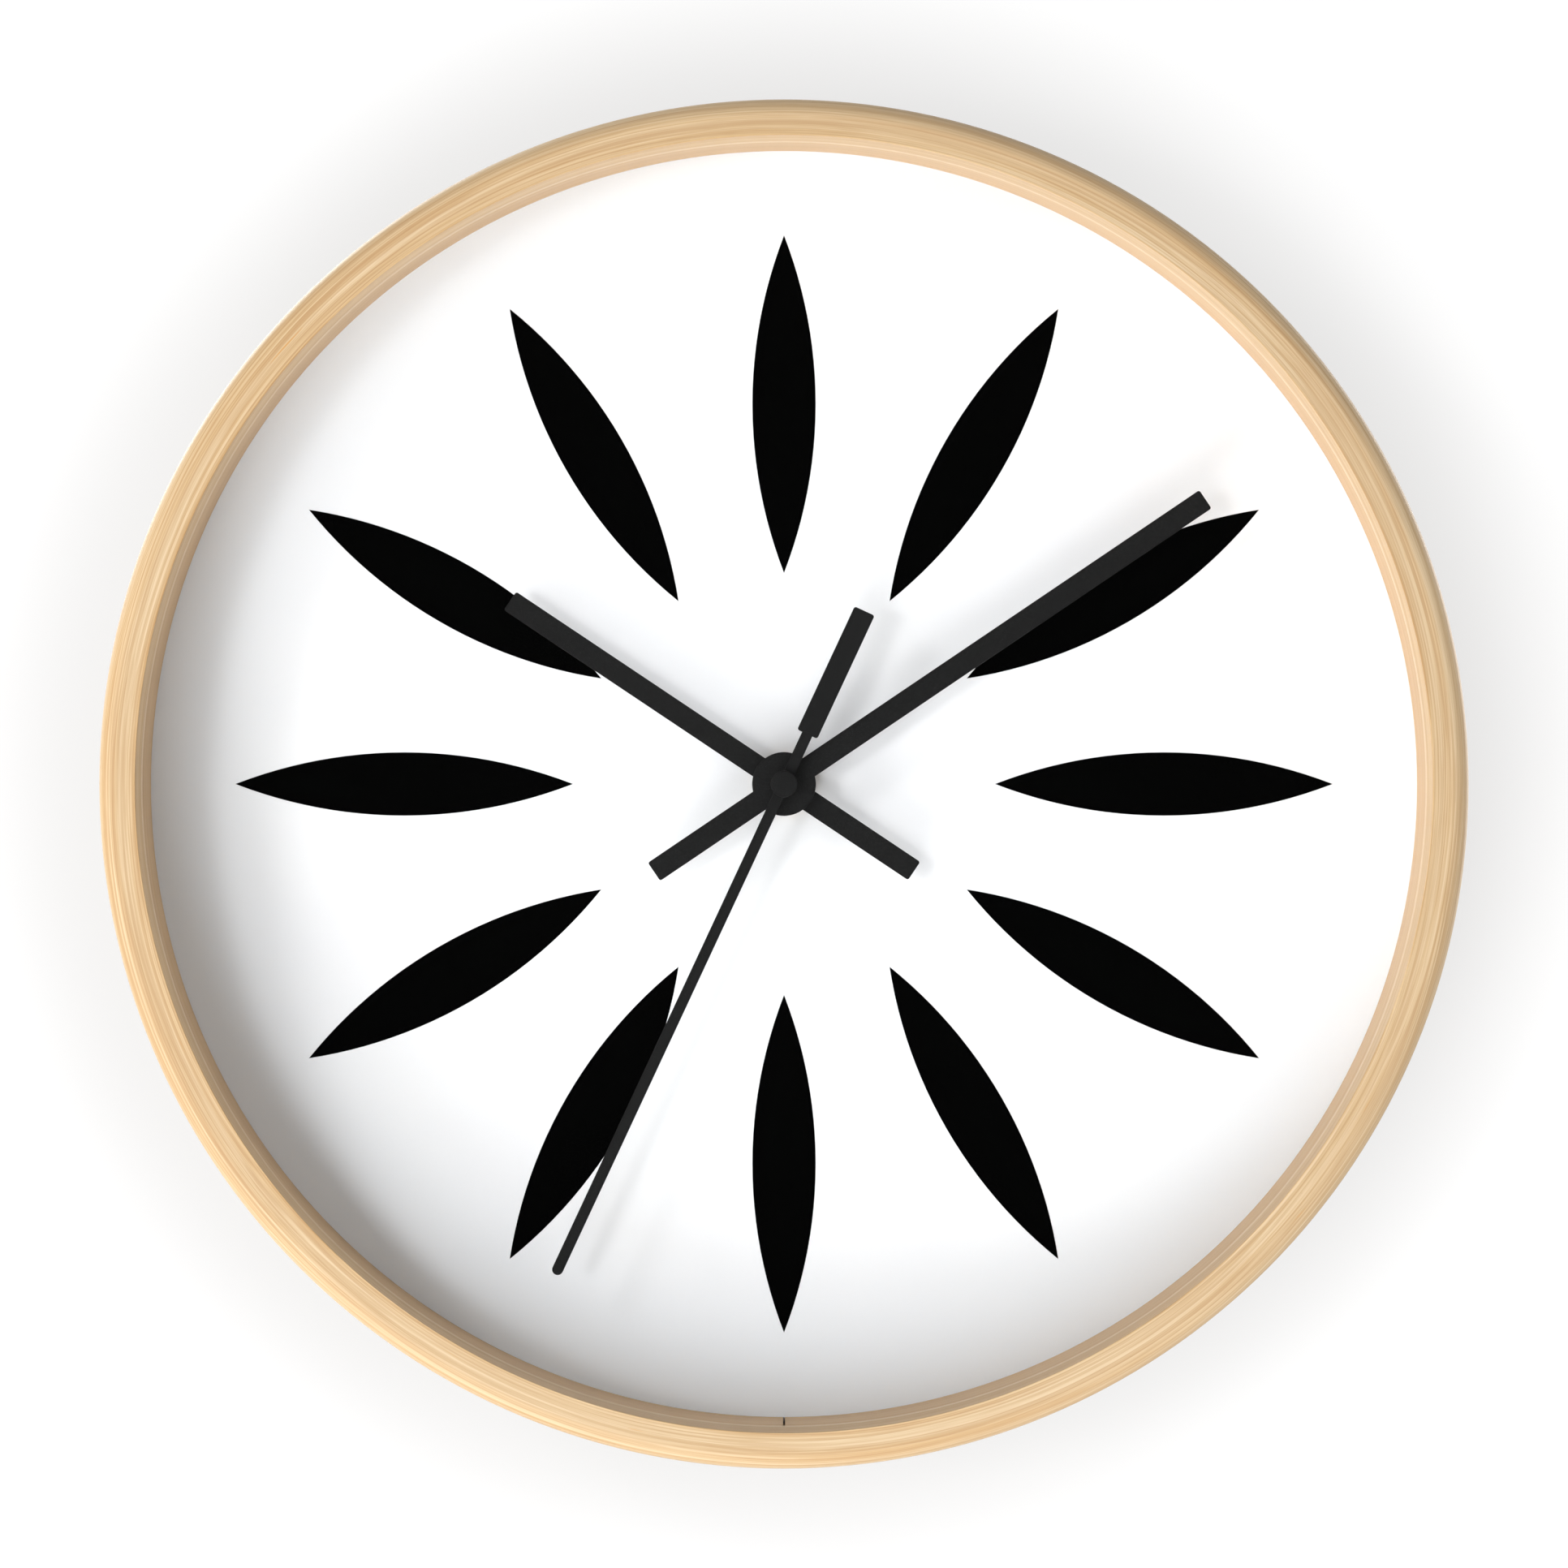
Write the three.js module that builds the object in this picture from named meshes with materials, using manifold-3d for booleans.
// A round quartz wall clock: a bentwood ring with a deep recess, a printed dial behind a clear front,
// three straight hands, and a battery movement with its full gear train.
//
// The clock is drawn in a front view: x to the right, y up, z out of the wall towards the viewer.
// "Height" below always means the distance from the wall along z. One group turns that view upright,
// so that the dial of the finished part faces -y and its twelve points along +z, and moves it so that
// the origin is on the axis of the hands, halfway through the depth of the case.
// All sizes are millimetres.

import * as THREE from "three";
import { mergeVertices } from "three/addons/utils/BufferGeometryUtils.js";
import Module from "manifold-3d";

const wasm = await Module();
wasm.setup();

// ---------------------------------------------------------------- driving dimensions

// Case
const CASE_RADIUS = 127;
const CASE_DEPTH = 46;
const RIM_WIDTH = 7;
const RIM_ROUNDING = 3.5;
const RIM_INNER_BEVEL = 0.3;
const REAR_BEVEL = 1.5;
const CRYSTAL_RECESS = 9;
const CRYSTAL_THICKNESS = 2;
const DIAL_RECESS = 24;
const DIAL_THICKNESS = 1;
const BOARD_THICKNESS = 3;
const SEAT_DEPTH = 1.6;
const SEAT_GAP = 0.3;
const CASE_SEGMENTS = 72;

// Clips that hold the dial board in the ring
const CLIP_COUNT = 4;
const CLIP_THICKNESS = 0.8;
const CLIP_WIDTH = 14;
const CLIP_REACH = 12;
const CLIP_DROP = 10;
const SCREW_SHANK_RADIUS = 1.4;
const SCREW_HEAD_RADIUS = 3;
const SCREW_HEAD_HEIGHT = 1.7;
const SCREW_BITE = 3.2;

// Centre fixing, from the dial back to the movement
const BUSH_RADIUS = 4;
const BUSH_BORE = 2.85;
const BUSH_END = 25;
const NUT_ACROSS_FLATS = 10;
const NUT_THICKNESS = 2;
const WASHER_RADIUS = 5.8;
const WASHER_THICKNESS = 0.5;
const RUBBER_RADIUS = 9;
const RUBBER_THICKNESS = 0.8;
const HANGER_THICKNESS = 0.8;
const HANGER_WIDTH = 20;
const HANGER_STANDOFF_AT = 32;
const HANGER_TOP = 62;
const HANGER_WALL_GAP = 1;
const KEYHOLE_RADIUS = 4.5;
const KEYHOLE_SLOT_RADIUS = 2.2;
const KEYHOLE_AT = 43;
const KEYHOLE_SLOT_END = 52;

// Hands: lengths from the arbor, angles clockwise from twelve
const HAND_THICKNESS = 0.4;
const HAND_WIDTH = 4.15;
const HAND_TAIL = 29.5;
const HAND_CORNER = 0.4;
const HOUR = { length: 62.1, boss: 5.2, height: 27.5, angle: 304 };
const MINUTE = { length: 95.6, boss: 6, height: 30, angle: 56.2 };
const SECOND = { length: 101.5, boss: 2.2, height: 32.3, angle: 205 };
const SECOND_WIDTH = 2.1;
const SECOND_THICKNESS = 0.3;
const COUNTERWEIGHT = { from: 10.3, to: 35.8, width: 4.15 };
const CAP_RADIUS = 2.5;
const CAP_HEIGHT = 1;
const SOCKET_RADIUS = 1.2;
const SOCKET_LENGTH = 1.2;

// Movement case
const MOVEMENT_SIZE = 56;
const MOVEMENT_WALL = 1.2;
const MOVEMENT_FLOOR = 1;
const MOVEMENT_CORNER = 2;
const MOVEMENT_REAR = 2.1;
const COVER_REAR = 0.9;
const BAY_TOP = -12;
const BAY_WALL = 1;
const BATTERY_RADIUS = 7.25;
const BATTERY_LENGTH = 50.5;
const BATTERY_NUB_RADIUS = 2.75;
const BATTERY_NUB_LENGTH = 1;
const BATTERY_Y = -19.4;
const BATTERY_HEIGHT = 8.1;
const BRIDGE_REAR = 3;
const BRIDGE_THICKNESS = 1.2;
const PILLARS = [[-13.5, -6.5], [13.5, -6.5], [-13.5, 17], [17, 8]];
const PILLAR_RADIUS = 1.4;
const PILLAR_PIN_RADIUS = 0.7;
const POST_RADIUS = 1.2;
const KNOB_RADIUS = 5.5;
const KNOB_REAR = 0.4;
const KNOB_THICKNESS = 2.2;
const KNOB_RIB_DEPTH = 0.4;
const KNOB_RIBS = 24;
const KNOB_CLEARANCE = 0.4;
const BATTERY_WINDOW_HALF = 9;
const COVER_TABS_AT = [2, 20];
const COVER_TAB_HALF_WIDTH = 3;
const BRIDGE_OUTLINE = { left: -15.5, bottom: -8.5, right: 19, top: 19, corner: 2 };

// Circuit board, the parts on it, and the battery contacts
const CIRCUIT_REAR = 5;
const CIRCUIT_FRONT = 6;
const CIRCUIT_STRIP_TOP = -8.2;
const CIRCUIT_COLUMN_RIGHT = -16.4;
const CIRCUIT_COLUMN_TOP = 12;
const CIRCUIT_POSTS = [[-24.5, 9], [23.5, -9.5]];
const QUARTZ = { radius: 1.5, length: 8, x: -20.5, y: 3, leadSpacing: 1.2, leadSize: 0.4, leadLength: 3 };
const CHIP = { x: -21.5, y: -6.8 };
const CONTACT_INNER = 26.2;
const CONTACT_OUTER = 26.6;
const CONTACT_HALF_WIDTH = 4;
const CONTACT_REAR = 3;
const CONTACT_FRONT = 13;
const CONTACT_TAB = { inner: 23, bottom: -10.6, top: -8.6, from: 4.5, to: 4.95 };

// Gear train. Each mesh has a pinion, a wheel and one module for both; the last two meshes of the
// seconds train share one distance between centres, and so do the two meshes of the motion work.
const THIRD_DISTANCE = 8.5;
const MOTION_WORK_DISTANCE = 9;
const ROTOR_TO_IDLER = { pinion: 8, wheel: 40, module: 0.275 };
const IDLER_TO_SECONDS = { pinion: 8, wheel: 48, module: 0.3125 };
const SECONDS_TO_THIRD = { pinion: 6, wheel: 45, module: (2 * THIRD_DISTANCE) / 51 };
const THIRD_TO_CENTRE = { pinion: 6, wheel: 48, module: (2 * THIRD_DISTANCE) / 54 };
const CANNON_TO_MINUTE_WORK = { pinion: 10, wheel: 30, module: (2 * MOTION_WORK_DISTANCE) / 40 };
const MINUTE_WORK_TO_HOUR = { pinion: 8, wheel: 32, module: (2 * MOTION_WORK_DISTANCE) / 40 };
const THIRD_BEARING = 150;
const IDLER_BEARING = 80;
const ROTOR_BEARING = 55;
const MINUTE_WORK_BEARING = 20;

// Tubes and arbors
const HOUR_PIPE_RADIUS = 2.55;
const HOUR_PIPE_BORE = 1.85;
const MINUTE_PIPE_RADIUS = 1.6;
const MINUTE_PIPE_BORE = 0.75;
const ARBOR_RADIUS = 0.45;
const KNOB_SHAFT_RADIUS = 0.8;
const PIVOT_GAP = 0.25;
const PRESS_GAP = 0.1;
const PIPE_STAND = 0.3;

// Heights of the toothed layers, from the rear of the movement to its front
const LAYERS = {
  rotorPinion: [4.6, 6.4],
  rotorShaft: [6.3, 7.8],
  idlerWheel: [5, 6],
  idlerPinion: [5.5, 8.1],
  secondsWheel: [6.8, 7.8],
  secondsPinion: [7.3, 9.9],
  thirdWheel: [8.6, 9.6],
  thirdPinion: [9, 11.7],
  centreWheel: [10.4, 11.4],
  centreHub: [10.2, 11.8],
  cannonPinion: [12, 13.6],
  minuteWorkWheel: [12.2, 13.4],
  minuteWorkPinion: [13, 15.2],
  hourWheel: [14, 15.2],
};
const ROTOR_SHAFT_RADIUS = 1;
const CENTRE_HUB_RADIUS = 2.6;

// Stepper motor
const MAGNET_RADIUS = 2.8;
const MAGNET_LENGTH = 2.2;
const STATOR_HEIGHT = 8.4;
const STATOR_THICKNESS = 1;
const STATOR_LOBE_RADIUS = 5;
const STATOR_ARM_WIDTH = 4;
const COIL_Y = 22.8;
const COIL_LEFT = -4.4;
const COIL_RIGHT = 15;
const COIL_RADIUS = 3.1;
const COIL_CORE_OVERHANG = 5;
const COIL_CORE_WIDTH = 3;
const BOBBIN_WALL = 0.6;

// ---------------------------------------------------------------- derived sizes

const rimInnerRadius = CASE_RADIUS - RIM_WIDTH;
const seatRadius = rimInnerRadius + SEAT_DEPTH;
const insertRadius = seatRadius - SEAT_GAP;
const crystalFront = CASE_DEPTH - CRYSTAL_RECESS;
const crystalRear = crystalFront - CRYSTAL_THICKNESS;
const dialFace = CASE_DEPTH - DIAL_RECESS;
const dialRear = dialFace - DIAL_THICKNESS;
const boardRear = dialRear - BOARD_THICKNESS;
const hangerFront = boardRear - RUBBER_THICKNESS;
const movementFront = hangerFront - HANGER_THICKNESS;
const movementHalf = MOVEMENT_SIZE / 2;
const cavityHalf = movementHalf - MOVEMENT_WALL;
const floorInside = movementFront - MOVEMENT_FLOOR;
const bridgeFront = BRIDGE_REAR + BRIDGE_THICKNESS;
const knobFront = KNOB_REAR + KNOB_THICKNESS;
const screwHeight = boardRear - CLIP_DROP * 0.6;
const centreHole = BUSH_RADIUS + PIVOT_GAP;
const arborRear = BRIDGE_REAR + 0.2;
const arborFront = floorInside + 0.4;
const pivotDepth = 0.6;

const degrees = (angle) => (angle * Math.PI) / 180;
const polar = (radius, angle) => new THREE.Vector2(radius, 0).rotateAround(new THREE.Vector2(), angle);

// ---------------------------------------------------------------- solid modelling helpers

function toSolid(geometry) {
  const bare = geometry.clone();
  bare.deleteAttribute("normal");
  bare.deleteAttribute("uv");
  const merged = mergeVertices(bare);
  return new wasm.Manifold(
    new wasm.Mesh({
      numProp: 3,
      vertProperties: merged.attributes.position.array,
      triVerts: new Uint32Array(merged.index.array),
    }),
  );
}

function toGeometry(solid) {
  const mesh = solid.getMesh();
  const geometry = new THREE.BufferGeometry();
  geometry.setAttribute("position", new THREE.BufferAttribute(mesh.vertProperties, mesh.numProp));
  geometry.setIndex(new THREE.BufferAttribute(mesh.triVerts, 1));
  geometry.computeVertexNormals();
  return geometry;
}

const join = (...geometries) =>
  toGeometry(geometries.map(toSolid).reduce((whole, next) => whole.add(next)));

const cut = (body, ...tools) =>
  toGeometry(tools.map(toSolid).reduce((whole, tool) => whole.subtract(tool), toSolid(body)));

// A disc or post standing along z, from one height to another, centred on a point of the front view.
function post(radius, from, to, [x, y] = [0, 0], segments = 24) {
  return new THREE.CylinderGeometry(radius, radius, to - from, segments)
    .rotateX(Math.PI / 2)
    .translate(x, y, (from + to) / 2);
}

// A box given by its low and high corners.
function block([x0, y0, z0], [x1, y1, z1]) {
  return new THREE.BoxGeometry(x1 - x0, y1 - y0, z1 - z0).translate(
    (x0 + x1) / 2,
    (y0 + y1) / 2,
    (z0 + z1) / 2,
  );
}

// A flat outline given a thickness between two heights.
function plate(shape, from, to, curveSegments = 24) {
  return new THREE.ExtrudeGeometry(shape, {
    depth: to - from,
    bevelEnabled: false,
    curveSegments,
  }).translate(0, 0, from);
}

// A ring turned about z. The profile is a closed counter-clockwise list of [radius, height].
function turned(profile, segments = 24) {
  const points = [...profile, profile[0]].map(([r, h]) => new THREE.Vector2(r, h));
  return new THREE.LatheGeometry(points, segments).rotateX(Math.PI / 2);
}

const tube = (outer, inner, from, to, segments = 24) =>
  turned([[inner, from], [outer, from], [outer, to], [inner, to]], segments);

function roundedRectangle(x0, y0, x1, y1, corner) {
  const shape = new THREE.Shape();
  shape.absarc(x1 - corner, y0 + corner, corner, -Math.PI / 2, 0);
  shape.absarc(x1 - corner, y1 - corner, corner, 0, Math.PI / 2);
  shape.absarc(x0 + corner, y1 - corner, corner, Math.PI / 2, Math.PI);
  shape.absarc(x0 + corner, y0 + corner, corner, Math.PI, 1.5 * Math.PI);
  return shape;
}

// ---------------------------------------------------------------- gears

const TOOTH_ADDENDUM = 0.75;
const TOOTH_DEDENDUM = 1.15;
const TOOTH_ROOT_SHARE = 0.58;
const TOOTH_TIP_SHARE = 0.16;

const pitchRadius = (teeth, module) => (teeth * module) / 2;
const centreDistance = ({ pinion, wheel, module }) => pitchRadius(pinion + wheel, module);

// A toothed disc whose first tooth points along the given phase angle.
function gear(teeth, module, phase, from, to, centre = new THREE.Vector2()) {
  const pitch = (2 * Math.PI) / teeth;
  const root = pitchRadius(teeth, module) - TOOTH_DEDENDUM * module;
  const tip = pitchRadius(teeth, module) + TOOTH_ADDENDUM * module;
  const flank = [
    [root, -TOOTH_ROOT_SHARE / 2],
    [tip, -TOOTH_TIP_SHARE / 2],
    [tip, TOOTH_TIP_SHARE / 2],
    [root, TOOTH_ROOT_SHARE / 2],
  ];
  const points = [];
  for (let tooth = 0; tooth < teeth; tooth += 1) {
    for (const [radius, share] of flank) {
      points.push(polar(radius, phase + (tooth + share) * pitch).add(centre));
    }
  }
  return plate(new THREE.Shape(points), from, to);
}

// The phase of a wheel that meshes, tooth in gap, with a pinion whose own phase is zero.
function meshedPhase({ pinion, wheel }, pinionCentre, wheelCentre) {
  const bearing = wheelCentre.clone().sub(pinionCentre).angle();
  const pinionTeethPassed = (bearing * pinion) / (2 * Math.PI);
  return bearing + Math.PI - ((0.5 - pinionTeethPassed) * 2 * Math.PI) / wheel;
}

const centreAxis = new THREE.Vector2(0, 0);
const thirdAxis = polar(THIRD_DISTANCE, degrees(THIRD_BEARING));
const idlerAxis = polar(centreDistance(IDLER_TO_SECONDS), degrees(IDLER_BEARING));
const rotorAxis = polar(centreDistance(ROTOR_TO_IDLER), degrees(ROTOR_BEARING)).add(idlerAxis);
const minuteWorkAxis = polar(MOTION_WORK_DISTANCE, degrees(MINUTE_WORK_BEARING));

// The pinion of one mesh, and the wheel of one mesh, between two heights.
const pinionOf = (mesh, axis, from, to) => gear(mesh.pinion, mesh.module, 0, from, to, axis);
const wheelOf = (mesh, pinionAxis, axis, from, to) =>
  gear(mesh.wheel, mesh.module, meshedPhase(mesh, pinionAxis, axis), from, to, axis);

const arbor = (axis, from = arborRear, to = arborFront) => post(ARBOR_RADIUS, from, to, axis.toArray(), 12);

// ---------------------------------------------------------------- materials

const finish = (color, roughness, metalness = 0) =>
  new THREE.MeshStandardMaterial({ color, roughness, metalness });

const wood = finish(0xe2c29a, 0.55);
const veneer = finish(0xdcb795, 0.6);
const acrylic = new THREE.MeshStandardMaterial({
  color: 0xffffff,
  roughness: 0.04,
  transparent: true,
  opacity: 0.15,
});
const dialPaper = finish(0xf8f8f6, 0.7);
const fibreboard = finish(0x9a7b57, 0.85);
const zincSteel = finish(0xb8bcc0, 0.35, 1);
const charcoal = finish(0x252525, 0.45, 0.2);
const brass = finish(0xc9a24f, 0.3, 1);
const rubber = finish(0x1b1b1b, 0.9);
const blackPlastic = finish(0x17181a, 0.5);
const gearPlastic = finish(0xf0efe8, 0.45);
const bridgePlastic = finish(0x2f3a4c, 0.5);
const motorSteel = finish(0x9da2a8, 0.3, 1);
const copper = finish(0xb4652f, 0.35, 1);
const circuitGreen = finish(0x1f6b3a, 0.5);
const magnetGrey = finish(0x3c3c40, 0.4, 0.6);
const batterySleeve = finish(0x3a3d42, 0.4, 0.3);

// ---------------------------------------------------------------- scene

const clock = new THREE.Group();
const frontView = new THREE.Group();
frontView.rotation.x = Math.PI / 2;
frontView.position.y = CASE_DEPTH / 2;
clock.add(frontView);

function place(name, geometry, material, parent = frontView) {
  const mesh = new THREE.Mesh(geometry, material);
  mesh.name = name;
  parent.add(mesh);
  return mesh;
}

// ---------------------------------------------------------------- case

function caseRing() {
  const rounding = [];
  const steps = 3;
  for (let step = 0; step <= steps; step += 1) {
    const turn = (step / steps) * (Math.PI / 2);
    rounding.push([
      CASE_RADIUS - RIM_ROUNDING + RIM_ROUNDING * Math.cos(turn),
      CASE_DEPTH - RIM_ROUNDING + RIM_ROUNDING * Math.sin(turn),
    ]);
  }
  const ring = turned(
    [
      [seatRadius, 0],
      [CASE_RADIUS - REAR_BEVEL, 0],
      [CASE_RADIUS, REAR_BEVEL],
      ...rounding,
      [rimInnerRadius + RIM_INNER_BEVEL, CASE_DEPTH],
      [rimInnerRadius, CASE_DEPTH - RIM_INNER_BEVEL],
      [rimInnerRadius, crystalFront],
      [seatRadius, crystalFront],
    ],
    CASE_SEGMENTS,
  );
  const pilots = clipBearings.map((bearing) =>
    new THREE.CylinderGeometry(SCREW_SHANK_RADIUS + 0.2, SCREW_SHANK_RADIUS + 0.2, SCREW_BITE + 2, 12)
      .rotateZ(Math.PI / 2)
      .translate(seatRadius + SCREW_BITE / 2, 0, screwHeight)
      .rotateZ(bearing),
  );
  return cut(ring, ...pilots);
}

// A strip bent into a hoop, with its two ends meeting at the bottom of the clock.
function spacerHoop() {
  const endGap = 0.6;
  const thickness = insertRadius - rimInnerRadius;
  const start = -Math.PI / 2 + endGap / 2 / rimInnerRadius;
  const end = start + 2 * Math.PI - endGap / rimInnerRadius;
  const strip = new THREE.Shape();
  strip.absarc(0, 0, rimInnerRadius + thickness, start, end, false);
  strip.absarc(0, 0, rimInnerRadius, end, start, true);
  return plate(strip, dialFace, crystalRear, CASE_SEGMENTS / 2);
}

const discWithHole = (from, to) =>
  cut(post(insertRadius, from, to, [0, 0], CASE_SEGMENTS), post(centreHole + 0.1, from - 1, to + 1));

// An angle piece: one leg lies on the ring, the other under the board, in a frame whose x is outwards.
function boardClip() {
  const inner = insertRadius - CLIP_THICKNESS;
  const bottom = boardRear - CLIP_DROP;
  const halfWidth = CLIP_WIDTH / 2;
  const wallLeg = block([inner, -halfWidth, bottom], [insertRadius, halfWidth, boardRear]);
  const boardLeg = block(
    [insertRadius - CLIP_REACH, -halfWidth, boardRear - CLIP_THICKNESS],
    [insertRadius, halfWidth, boardRear],
  );
  const screwHole = new THREE.CylinderGeometry(
    SCREW_SHANK_RADIUS + 0.2,
    SCREW_SHANK_RADIUS + 0.2,
    CLIP_THICKNESS * 4,
    12,
  )
    .rotateZ(Math.PI / 2)
    .translate(insertRadius - CLIP_THICKNESS / 2, 0, screwHeight);
  return cut(join(wallLeg, boardLeg), screwHole);
}

// A pan-head wood screw whose axis is x, with its head against the clip and its point in the ring.
function clipScrew() {
  const point = SCREW_SHANK_RADIUS * 0.4;
  const shank = CLIP_THICKNESS + SEAT_GAP + SCREW_BITE;
  const profile = [
    [0, -SCREW_HEAD_HEIGHT],
    [SCREW_HEAD_RADIUS * 0.7, -SCREW_HEAD_HEIGHT],
    [SCREW_HEAD_RADIUS, -SCREW_HEAD_HEIGHT * 0.5],
    [SCREW_HEAD_RADIUS, 0],
    [SCREW_SHANK_RADIUS, 0],
    [SCREW_SHANK_RADIUS, shank - SCREW_SHANK_RADIUS],
    [point, shank],
    [0, shank],
  ].map(([r, along]) => new THREE.Vector2(r, along));
  const screw = new THREE.LatheGeometry(profile, 12);
  const slotWidth = 0.8;
  const slotDepth = 0.8;
  const slot = new THREE.BoxGeometry(SCREW_HEAD_RADIUS * 3, slotDepth * 2, slotWidth).translate(
    0,
    -SCREW_HEAD_HEIGHT,
    0,
  );
  return cut(screw, slot)
    .rotateZ(-Math.PI / 2)
    .translate(insertRadius - CLIP_THICKNESS, 0, screwHeight);
}

const clipBearings = Array.from(
  { length: CLIP_COUNT },
  (_, index) => Math.PI / CLIP_COUNT + (index * 2 * Math.PI) / CLIP_COUNT,
);

place("case_ring", caseRing(), wood);
place(
  "front_crystal",
  post(insertRadius, crystalRear, crystalFront, [0, 0], CASE_SEGMENTS),
  acrylic,
);
place("spacer_hoop", spacerHoop(), veneer);
place("dial_plate", discWithHole(dialRear, dialFace), dialPaper);
place("dial_board", discWithHole(boardRear, dialRear), fibreboard);

clipBearings.forEach((bearing, index) => {
  const corner = new THREE.Group();
  corner.rotation.z = bearing;
  frontView.add(corner);
  place(`board_clip_${index + 1}`, boardClip(), zincSteel, corner);
  place(`clip_screw_${index + 1}`, clipScrew(), brass, corner);
});

// ---------------------------------------------------------------- centre fixing and hanger

function mountingNut() {
  const from = dialFace + WASHER_THICKNESS;
  const corner = NUT_ACROSS_FLATS / 2 / Math.cos(Math.PI / 6);
  return cut(
    post(corner, from, from + NUT_THICKNESS, [0, 0], 6),
    post(BUSH_RADIUS + PRESS_GAP, from - 1, from + NUT_THICKNESS + 1),
  );
}

// A strap over the bush that steps back to the wall above the movement and ends in a keyhole.
function hangerBracket() {
  const front = hangerFront;
  const rear = movementFront;
  const wallSide = HANGER_WALL_GAP;
  const bottom = -HANGER_WIDTH / 2;
  const profile = new THREE.Shape();
  profile.moveTo(bottom, rear);
  profile.lineTo(HANGER_STANDOFF_AT, rear);
  profile.lineTo(HANGER_STANDOFF_AT, wallSide);
  profile.lineTo(HANGER_TOP, wallSide);
  profile.lineTo(HANGER_TOP, wallSide + HANGER_THICKNESS);
  profile.lineTo(HANGER_STANDOFF_AT + HANGER_THICKNESS, wallSide + HANGER_THICKNESS);
  profile.lineTo(HANGER_STANDOFF_AT + HANGER_THICKNESS, front);
  profile.lineTo(bottom, front);
  // The profile is drawn in (y, z) and given its width along x.
  const strap = new THREE.ExtrudeGeometry(profile, { depth: HANGER_WIDTH, bevelEnabled: false })
    .rotateX(Math.PI / 2)
    .rotateZ(Math.PI / 2)
    .translate(-HANGER_WIDTH / 2, 0, 0);
  const reach = CASE_DEPTH;
  const slotHalf = KEYHOLE_SLOT_RADIUS;
  return cut(
    strap,
    post(centreHole, -1, reach),
    post(KEYHOLE_RADIUS, -1, 5, [0, KEYHOLE_AT]),
    block([-slotHalf, KEYHOLE_AT, -1], [slotHalf, KEYHOLE_SLOT_END, 5]),
    post(slotHalf, -1, 5, [0, KEYHOLE_SLOT_END]),
  );
}

place("hanger_bracket", hangerBracket(), zincSteel);
place("rubber_washer", tube(RUBBER_RADIUS, centreHole, hangerFront, boardRear), rubber);
place(
  "flat_washer",
  tube(WASHER_RADIUS, centreHole, dialFace, dialFace + WASHER_THICKNESS),
  brass,
);
place("mounting_nut", mountingNut(), brass);

// ---------------------------------------------------------------- movement case

const bayBottom = -cavityHalf;
const trainBottom = BAY_TOP + BAY_WALL;
const corePosts = [COIL_LEFT - COIL_CORE_OVERHANG / 2 - 1, COIL_RIGHT + COIL_CORE_OVERHANG / 2 + 1];
const coreFront = STATOR_HEIGHT + 2 * STATOR_THICKNESS;

function movementCase() {
  const below = MOVEMENT_REAR - 1;
  const shell = cut(
    plate(
      roundedRectangle(-movementHalf, -movementHalf, movementHalf, movementHalf, MOVEMENT_CORNER),
      MOVEMENT_REAR,
      movementFront,
      4,
    ),
    block([-cavityHalf, trainBottom, below], [cavityHalf, cavityHalf, floorInside]),
    block([-cavityHalf, bayBottom, below], [cavityHalf, BAY_TOP, floorInside]),
    block(
      [-BATTERY_WINDOW_HALF, -movementHalf - 1, below],
      [BATTERY_WINDOW_HALF, bayBottom + 1, BATTERY_HEIGHT],
    ),
    block([-cavityHalf, BAY_TOP - 1, below], [1 - cavityHalf, trainBottom + 1, CIRCUIT_REAR + 0.2]),
    block([cavityHalf - 1, BAY_TOP - 1, below], [cavityHalf, trainBottom + 1, CIRCUIT_REAR + 0.2]),
  );
  const inFloor = movementFront - MOVEMENT_FLOOR / 2;
  const body = join(
    shell,
    post(BUSH_RADIUS, inFloor, BUSH_END),
    ...PILLARS.map((at) => post(PILLAR_RADIUS, bridgeFront, inFloor, at, 10)),
    ...PILLARS.map((at) => post(PILLAR_PIN_RADIUS, arborRear, bridgeFront + 1, at, 8)),
    ...CIRCUIT_POSTS.map((at) => post(POST_RADIUS, CIRCUIT_FRONT, inFloor, at, 8)),
    ...corePosts.map((x) => post(POST_RADIUS, coreFront, inFloor, [x, COIL_Y], 8)),
  );
  const pivots = [thirdAxis, idlerAxis, rotorAxis].map((axis) =>
    post(ARBOR_RADIUS + PIVOT_GAP, floorInside - 1, floorInside + pivotDepth, axis.toArray(), 12),
  );
  const knobPivot = post(
    KNOB_SHAFT_RADIUS + PIVOT_GAP,
    floorInside - 1,
    floorInside + pivotDepth,
    minuteWorkAxis.toArray(),
    12,
  );
  return cut(body, post(BUSH_BORE, floorInside - 1, BUSH_END + 1), ...pivots, knobPivot);
}

function movementCover() {
  const lid = plate(
    roundedRectangle(-movementHalf, trainBottom, movementHalf, movementHalf, MOVEMENT_CORNER),
    COVER_REAR,
    MOVEMENT_REAR,
    4,
  );
  const tabs = [-1, 1].flatMap((side) =>
    COVER_TABS_AT.map((y) => {
      const [x0, x1] = [side * (cavityHalf - 1), side * (cavityHalf - 0.2)].sort((a, b) => a - b);
      return block(
        [x0, y - COVER_TAB_HALF_WIDTH, MOVEMENT_REAR - 0.5],
        [x1, y + COVER_TAB_HALF_WIDTH, CIRCUIT_REAR - 0.3],
      );
    }),
  );
  const knobHole = post(KNOB_RADIUS + KNOB_CLEARANCE, 0, MOVEMENT_REAR + 1, minuteWorkAxis.toArray(), 32);
  return cut(join(lid, ...tabs), knobHole);
}

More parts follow.
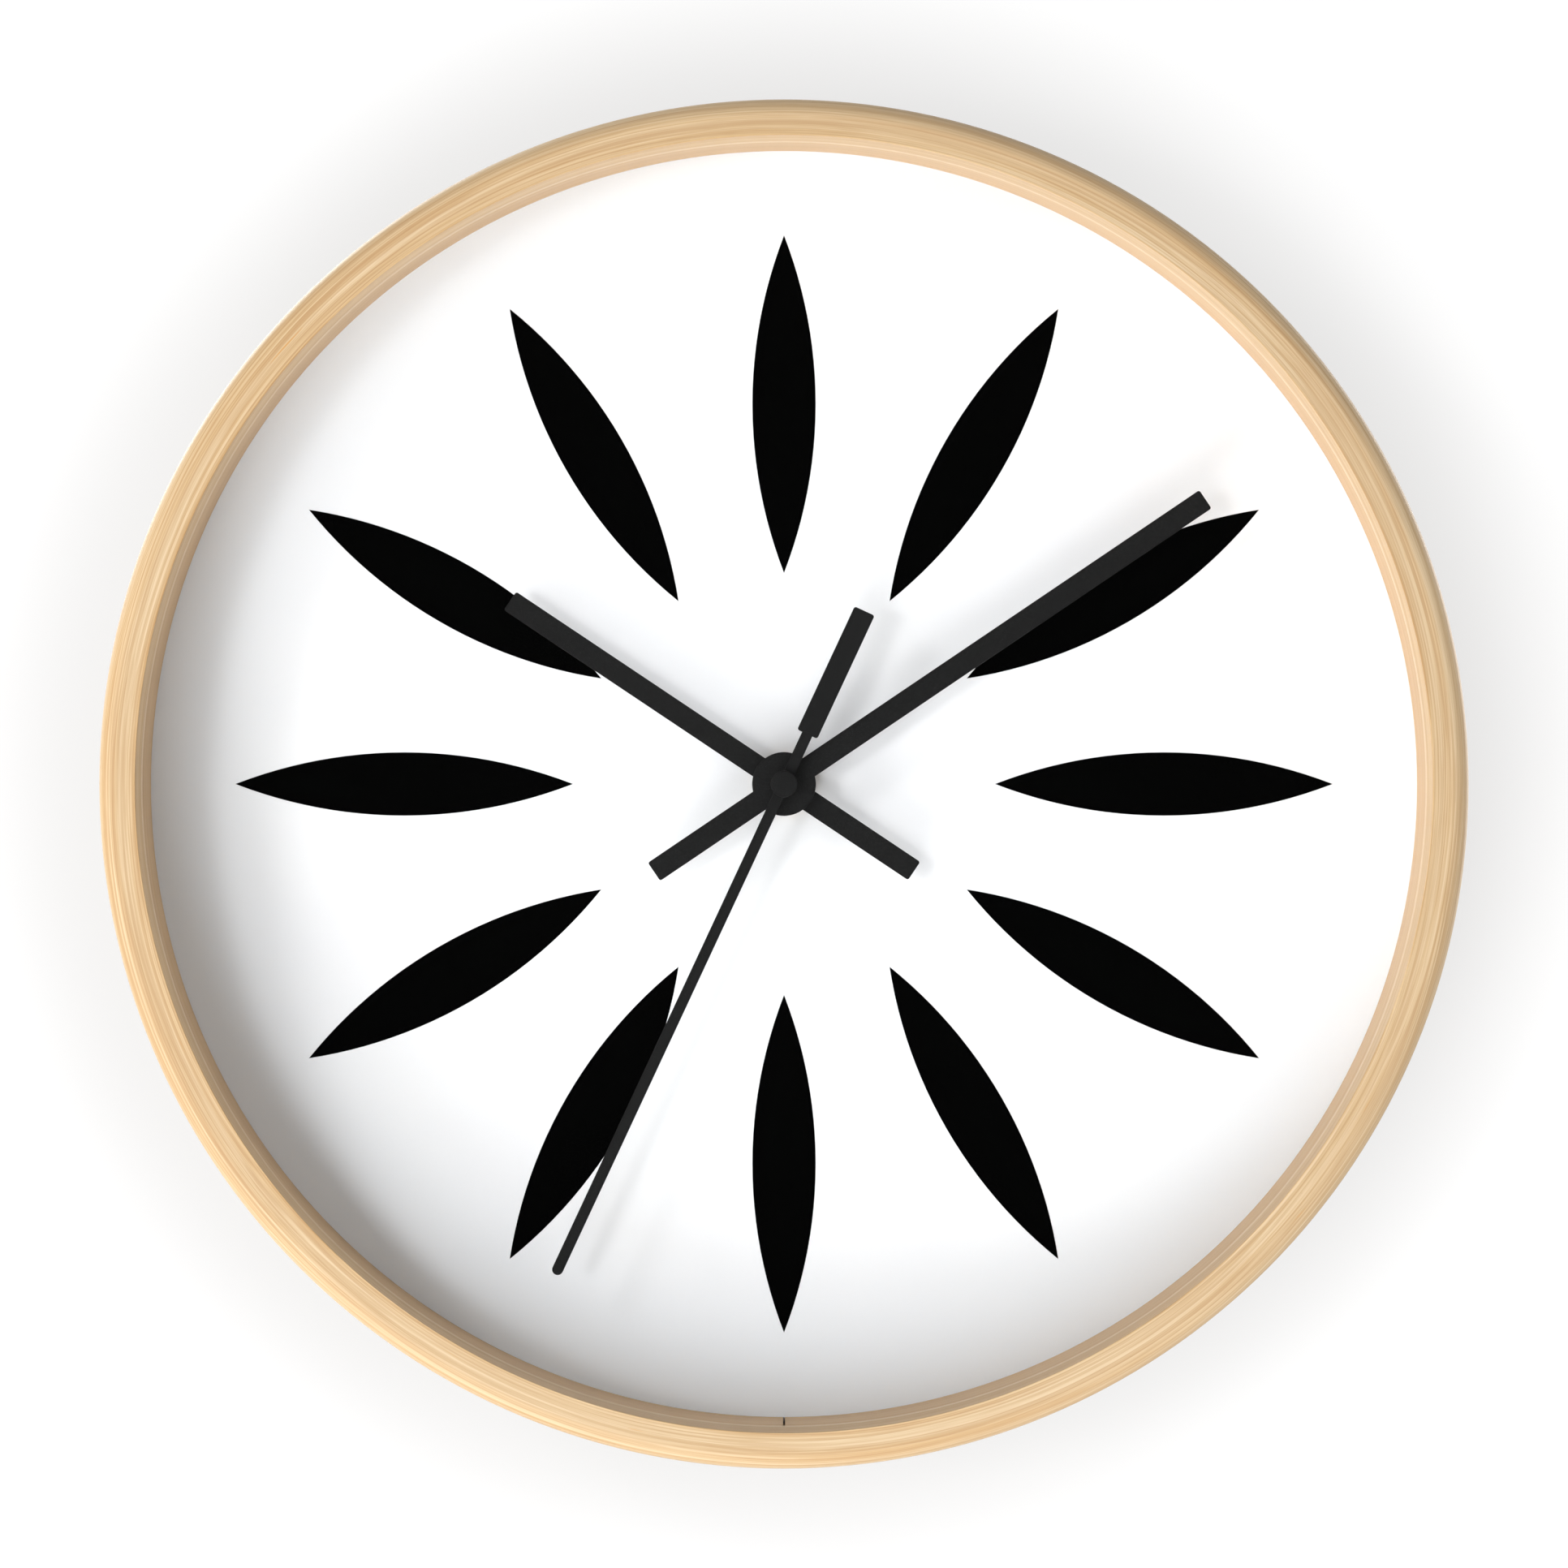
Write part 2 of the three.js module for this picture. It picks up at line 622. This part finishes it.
function trainBridge() {
  const { left, bottom, right, top, corner } = BRIDGE_OUTLINE;
  const outline = roundedRectangle(left, bottom, right, top, corner);
  const holes = [centreAxis, thirdAxis, idlerAxis, rotorAxis].map((axis) =>
    post(ARBOR_RADIUS + PIVOT_GAP, BRIDGE_REAR - 1, bridgeFront + 1, axis.toArray(), 12),
  );
  const knobHole = post(
    KNOB_SHAFT_RADIUS + PIVOT_GAP,
    BRIDGE_REAR - 1,
    bridgeFront + 1,
    minuteWorkAxis.toArray(),
    12,
  );
  const pinHoles = PILLARS.map((at) =>
    post(PILLAR_PIN_RADIUS + PIVOT_GAP, BRIDGE_REAR - 1, bridgeFront + 1, at, 12),
  );
  return cut(plate(outline, BRIDGE_REAR, bridgeFront, 4), ...holes, knobHole, ...pinHoles);
}

place("movement_case", movementCase(), blackPlastic);
place("movement_cover", movementCover(), blackPlastic);
place("train_bridge", trainBridge(), bridgePlastic);

// ---------------------------------------------------------------- stepper motor

const coilHeight = STATOR_HEIGHT + 1.5 * STATOR_THICKNESS;
const coreLeft = COIL_LEFT - COIL_CORE_OVERHANG;
const coreRight = COIL_RIGHT + COIL_CORE_OVERHANG;
const bobbinRadius = COIL_RADIUS + 0.2;
const windingBore = COIL_CORE_WIDTH / 2 + 0.55;

// A straight arm of a flat plate, from one point of the front view to another, with round ends.
function arm(start, end, width, from, to) {
  const along = end.clone().sub(start);
  const bar = new THREE.Shape();
  bar.absarc(0, 0, width / 2, Math.PI / 2, 1.5 * Math.PI);
  bar.absarc(along.length(), 0, width / 2, -Math.PI / 2, Math.PI / 2);
  return plate(bar, from, to, 3).rotateZ(along.angle()).translate(start.x, start.y, 0);
}

// A plate with a round hole for the rotor and an arm to each end of the coil's core.
function stator() {
  const from = STATOR_HEIGHT;
  const to = STATOR_HEIGHT + STATOR_THICKNESS;
  const arms = corePosts.flatMap((x) => {
    const elbow = new THREE.Vector2(x, rotorAxis.y + 1);
    const end = new THREE.Vector2(x, COIL_Y);
    return [
      arm(rotorAxis, elbow, STATOR_ARM_WIDTH, from, to),
      arm(elbow, end, STATOR_ARM_WIDTH, from, to),
    ];
  });
  return cut(
    join(post(STATOR_LOBE_RADIUS, from, to, rotorAxis.toArray()), ...arms),
    post(MAGNET_RADIUS + 0.5, from - 1, to + 1, rotorAxis.toArray()),
  );
}

// A round piece lying along x on the coil's axis.
const coilPost = (radius, left, right, segments = 20) =>
  new THREE.CylinderGeometry(radius, radius, right - left, segments)
    .rotateZ(Math.PI / 2)
    .translate((left + right) / 2, COIL_Y, coilHeight);

function coilBobbin() {
  const flanges = [
    [COIL_LEFT, COIL_LEFT + BOBBIN_WALL],
    [COIL_RIGHT - BOBBIN_WALL, COIL_RIGHT],
  ].map(([left, right]) => coilPost(bobbinRadius, left, right));
  const core = new THREE.BoxGeometry(
    COIL_RIGHT - COIL_LEFT + 2,
    COIL_CORE_WIDTH + 0.2,
    STATOR_THICKNESS + 0.2,
  ).translate((COIL_LEFT + COIL_RIGHT) / 2, COIL_Y, coilHeight);
  return cut(join(coilPost(windingBore - PRESS_GAP, COIL_LEFT, COIL_RIGHT), ...flanges), core);
}

function coilWinding() {
  const left = COIL_LEFT + BOBBIN_WALL + 0.05;
  const right = COIL_RIGHT - BOBBIN_WALL - 0.05;
  return cut(coilPost(COIL_RADIUS, left, right), coilPost(windingBore, left - 1, right + 1));
}

place("stator", stator(), motorSteel);
place(
  "coil_core",
  block(
    [coreLeft, COIL_Y - COIL_CORE_WIDTH / 2, STATOR_HEIGHT + STATOR_THICKNESS],
    [coreRight, COIL_Y + COIL_CORE_WIDTH / 2, coreFront],
  ),
  motorSteel,
);
place("coil_bobbin", coilBobbin(), gearPlastic);
place("coil_winding", coilWinding(), copper);

// ---------------------------------------------------------------- electronics and battery

function circuitBoard() {
  const edge = cavityHalf - 0.4;
  const outline = new THREE.Shape();
  outline.moveTo(-edge, trainBottom + 0.2);
  outline.lineTo(edge, trainBottom + 0.2);
  outline.lineTo(edge, CIRCUIT_STRIP_TOP);
  outline.lineTo(CIRCUIT_COLUMN_RIGHT, CIRCUIT_STRIP_TOP);
  outline.lineTo(CIRCUIT_COLUMN_RIGHT, CIRCUIT_COLUMN_TOP);
  outline.lineTo(-edge, CIRCUIT_COLUMN_TOP);
  return plate(outline, CIRCUIT_REAR, CIRCUIT_FRONT);
}

// A small round can lying on the board, with two wires bent down from one end.
function quartzCan() {
  const { radius, length, x, y, leadSpacing, leadSize, leadLength } = QUARTZ;
  const height = CIRCUIT_FRONT + radius + 0.1;
  const can = new THREE.CylinderGeometry(radius, radius, length, 16).translate(x, y, height);
  const half = leadSize / 2;
  const leads = [-leadSpacing / 2, leadSpacing / 2].flatMap((aside) => [
    block([x + aside - half, -leadLength, height - half], [x + aside + half, 0, height + half]),
    block([x + aside - half, -leadLength, CIRCUIT_FRONT], [x + aside + half, leadSize - leadLength, height]),
  ]);
  return join(can, ...leads);
}

// The drop of black resin over the clock's chip.
function clockChip() {
  const dome = [[0, 0], [3, 0], [2.7, 0.6], [1.8, 1], [0, 1.2]];
  return new THREE.LatheGeometry(
    dome.map(([r, h]) => new THREE.Vector2(r, h)),
    20,
  )
    .rotateX(Math.PI / 2)
    .translate(CHIP.x, CHIP.y, CIRCUIT_FRONT);
}

// Both contacts are a plate at the end of the bay, an arm past the bay wall and a tab on the board.
// "side" is -1 for the left end and 1 for the right end.
function contactPlate(side) {
  const span = (near, far) => [side * near, side * far].sort((a, b) => a - b);
  const { inner, bottom, top, from, to } = CONTACT_TAB;
  const [low, high] = [BATTERY_Y - CONTACT_HALF_WIDTH, BATTERY_Y + CONTACT_HALF_WIDTH];
  const [x0, x1] = span(CONTACT_INNER, CONTACT_OUTER);
  const [tab0, tab1] = span(inner, CONTACT_OUTER);
  return [
    block([x0, low, CONTACT_REAR], [x1, high, CONTACT_FRONT]),
    block([x0, high - 1, CONTACT_REAR], [x1, top, to]),
    block([tab0, bottom, from], [tab1, top, to]),
  ];
}

function positiveContact() {
  const button = new THREE.CylinderGeometry(1.6, 2, 1, 16)
    .rotateZ(Math.PI / 2)
    .rotateY(Math.PI)
    .translate(-25.9, BATTERY_Y, BATTERY_HEIGHT);
  return join(...contactPlate(-1), button);
}

function negativeContact() {
  const leaf = new THREE.Shape();
  leaf.moveTo(26.3, 12.9);
  leaf.lineTo(25.4, BATTERY_HEIGHT);
  leaf.lineTo(25.9, 3.6);
  leaf.lineTo(26.1, 3.6);
  leaf.lineTo(25.7, BATTERY_HEIGHT);
  leaf.lineTo(26.3, 11.6);
  // Drawn in (x, z) and given its width along y.
  const spring = new THREE.ExtrudeGeometry(leaf, { depth: 6, bevelEnabled: false })
    .rotateX(Math.PI / 2)
    .translate(0, BATTERY_Y + 3, 0);
  return join(...contactPlate(1), spring);
}

function battery() {
  const half = BATTERY_LENGTH / 2;
  const rounding = 0.8;
  const profile = [
    [0, -half],
    [BATTERY_RADIUS - rounding, -half],
    [BATTERY_RADIUS, -half + rounding],
    [BATTERY_RADIUS, half - BATTERY_NUB_LENGTH - rounding],
    [BATTERY_RADIUS - rounding, half - BATTERY_NUB_LENGTH],
    [BATTERY_NUB_RADIUS, half - BATTERY_NUB_LENGTH],
    [BATTERY_NUB_RADIUS, half],
    [0, half],
  ].map(([r, along]) => new THREE.Vector2(r, along));
  return new THREE.LatheGeometry(profile, 24)
    .rotateZ(Math.PI / 2)
    .translate(0, BATTERY_Y, BATTERY_HEIGHT);
}

place("circuit_board", circuitBoard(), circuitGreen);
place("quartz_can", quartzCan(), zincSteel);
place("clock_chip", clockChip(), blackPlastic);
place("positive_contact", positiveContact(), zincSteel);
place("negative_contact", negativeContact(), zincSteel);
place("battery", battery(), batterySleeve);

// ---------------------------------------------------------------- gear train

function rotorPinion() {
  return join(
    pinionOf(ROTOR_TO_IDLER, rotorAxis, ...LAYERS.rotorPinion),
    post(ROTOR_SHAFT_RADIUS, ...LAYERS.rotorShaft, rotorAxis.toArray(), 12),
    arbor(rotorAxis),
  );
}

function rotorMagnet() {
  const from = LAYERS.rotorShaft[1];
  return cut(
    post(MAGNET_RADIUS, from, from + MAGNET_LENGTH, rotorAxis.toArray()),
    post(ARBOR_RADIUS + PRESS_GAP, from - 1, from + MAGNET_LENGTH + 1, rotorAxis.toArray(), 12),
  );
}

const idlerWheel = () =>
  join(
    wheelOf(ROTOR_TO_IDLER, rotorAxis, idlerAxis, ...LAYERS.idlerWheel),
    pinionOf(IDLER_TO_SECONDS, idlerAxis, ...LAYERS.idlerPinion),
    arbor(idlerAxis),
  );

const secondsWheel = () =>
  cut(
    join(
      wheelOf(IDLER_TO_SECONDS, idlerAxis, centreAxis, ...LAYERS.secondsWheel),
      pinionOf(SECONDS_TO_THIRD, centreAxis, ...LAYERS.secondsPinion),
    ),
    post(ARBOR_RADIUS + 0.06, 6, 11, [0, 0], 12),
  );

const thirdWheel = () =>
  join(
    wheelOf(SECONDS_TO_THIRD, centreAxis, thirdAxis, ...LAYERS.thirdWheel),
    pinionOf(THIRD_TO_CENTRE, thirdAxis, ...LAYERS.thirdPinion),
    arbor(thirdAxis),
  );

const centreWheel = () =>
  cut(
    join(
      wheelOf(THIRD_TO_CENTRE, thirdAxis, centreAxis, ...LAYERS.centreWheel),
      post(CENTRE_HUB_RADIUS, ...LAYERS.centreHub, [0, 0], 16),
    ),
    post(MINUTE_PIPE_RADIUS + PRESS_GAP, 9, 13, [0, 0], 16),
  );

const minutePipeEnd = MINUTE.height + HAND_THICKNESS + PIPE_STAND;
const cannonPinion = () =>
  cut(
    join(
      pinionOf(CANNON_TO_MINUTE_WORK, centreAxis, ...LAYERS.cannonPinion),
      post(MINUTE_PIPE_RADIUS, LAYERS.centreHub[0], minutePipeEnd, [0, 0], 16),
    ),
    post(MINUTE_PIPE_BORE, 9, minutePipeEnd + 1, [0, 0], 16),
  );

const minuteWorkWheel = () =>
  cut(
    join(
      wheelOf(CANNON_TO_MINUTE_WORK, centreAxis, minuteWorkAxis, ...LAYERS.minuteWorkWheel),
      pinionOf(MINUTE_WORK_TO_HOUR, minuteWorkAxis, ...LAYERS.minuteWorkPinion),
    ),
    post(KNOB_SHAFT_RADIUS + PRESS_GAP, 11, 16, minuteWorkAxis.toArray(), 16),
  );

const hourWheel = () =>
  cut(
    join(
      wheelOf(MINUTE_WORK_TO_HOUR, minuteWorkAxis, centreAxis, ...LAYERS.hourWheel),
      post(HOUR_PIPE_RADIUS, 14.5, HOUR.height + HAND_THICKNESS + PIPE_STAND),
    ),
    post(HOUR_PIPE_BORE, 13, HOUR.height + 2),
  );

// A ribbed thumb wheel on the shaft of the minute work.
function settingKnob() {
  const pitch = (2 * Math.PI) / KNOB_RIBS;
  const rim = [];
  for (let rib = 0; rib < KNOB_RIBS; rib += 1) {
    rim.push(polar(KNOB_RADIUS, (rib - 0.25) * pitch));
    rim.push(polar(KNOB_RADIUS, (rib + 0.25) * pitch));
    rim.push(polar(KNOB_RADIUS - KNOB_RIB_DEPTH, (rib + 0.5) * pitch));
  }
  const knob = plate(new THREE.Shape(rim), KNOB_REAR, knobFront);
  knob.translate(minuteWorkAxis.x, minuteWorkAxis.y, 0);
  return join(knob, post(KNOB_SHAFT_RADIUS, knobFront - 0.5, arborFront, minuteWorkAxis.toArray(), 16));
}

place("rotor_magnet", rotorMagnet(), magnetGrey);
place("rotor_pinion", rotorPinion(), gearPlastic);
place("idler_wheel", idlerWheel(), gearPlastic);
place("seconds_wheel", secondsWheel(), gearPlastic);
place(
  "seconds_arbor",
  arbor(centreAxis, arborRear, SECOND.height + SECOND_THICKNESS - 0.1),
  motorSteel,
);
place("third_wheel", thirdWheel(), gearPlastic);
place("centre_wheel", centreWheel(), gearPlastic);
place("cannon_pinion", cannonPinion(), brass);
place("minute_work_wheel", minuteWorkWheel(), gearPlastic);
place("setting_knob", settingKnob(), blackPlastic);
place("hour_wheel", hourWheel(), gearPlastic);

// ---------------------------------------------------------------- hands

const bar = (width, from, to, corner, thickness, curveSegments = 1) =>
  plate(roundedRectangle(-width / 2, from, width / 2, to, corner), 0, thickness, curveSegments);

// A straight hand with a round boss, pointing up, with its rear face at height zero.
function straightHand({ length, boss }, pipeRadius) {
  return cut(
    join(
      bar(HAND_WIDTH, -HAND_TAIL, length, HAND_CORNER, HAND_THICKNESS),
      post(boss, 0, HAND_THICKNESS, [0, 0], 32),
    ),
    post(pipeRadius + PRESS_GAP, -1, 1),
  );
}

function secondHand() {
  const { from, to, width } = COUNTERWEIGHT;
  return cut(
    join(
      bar(SECOND_WIDTH, -from - 1, SECOND.length, SECOND_WIDTH / 2.01, SECOND_THICKNESS, 3),
      bar(width, -to, -from, HAND_CORNER, SECOND_THICKNESS),
      post(SECOND.boss, 0, SECOND_THICKNESS),
    ),
    post(ARBOR_RADIUS + PRESS_GAP, -1, 1, [0, 0], 12),
  );
}

function capOfSecondHand() {
  const from = SECOND_THICKNESS;
  const dome = [
    [0, from],
    [CAP_RADIUS, from],
    [CAP_RADIUS, from + CAP_HEIGHT * 0.7],
    [CAP_RADIUS * 0.85, from + CAP_HEIGHT],
    [0, from + CAP_HEIGHT],
  ].map(([r, h]) => new THREE.Vector2(r, h));
  return new THREE.LatheGeometry(dome, 24).rotateX(Math.PI / 2);
}

function handGroup({ height, angle }) {
  const group = new THREE.Group();
  group.position.z = height;
  group.rotation.z = -degrees(angle);
  frontView.add(group);
  return group;
}

place("hour_hand", straightHand(HOUR, HOUR_PIPE_RADIUS), charcoal, handGroup(HOUR));
place("minute_hand", straightHand(MINUTE, MINUTE_PIPE_RADIUS), charcoal, handGroup(MINUTE));

const secondGroup = handGroup(SECOND);
place("second_hand", secondHand(), charcoal, secondGroup);
place(
  "second_hand_socket",
  tube(SOCKET_RADIUS, ARBOR_RADIUS + PRESS_GAP, -SOCKET_LENGTH, 0, 16),
  brass,
  secondGroup,
);
place("second_hand_cap", capOfSecondHand(), charcoal, secondGroup);

export default clock;
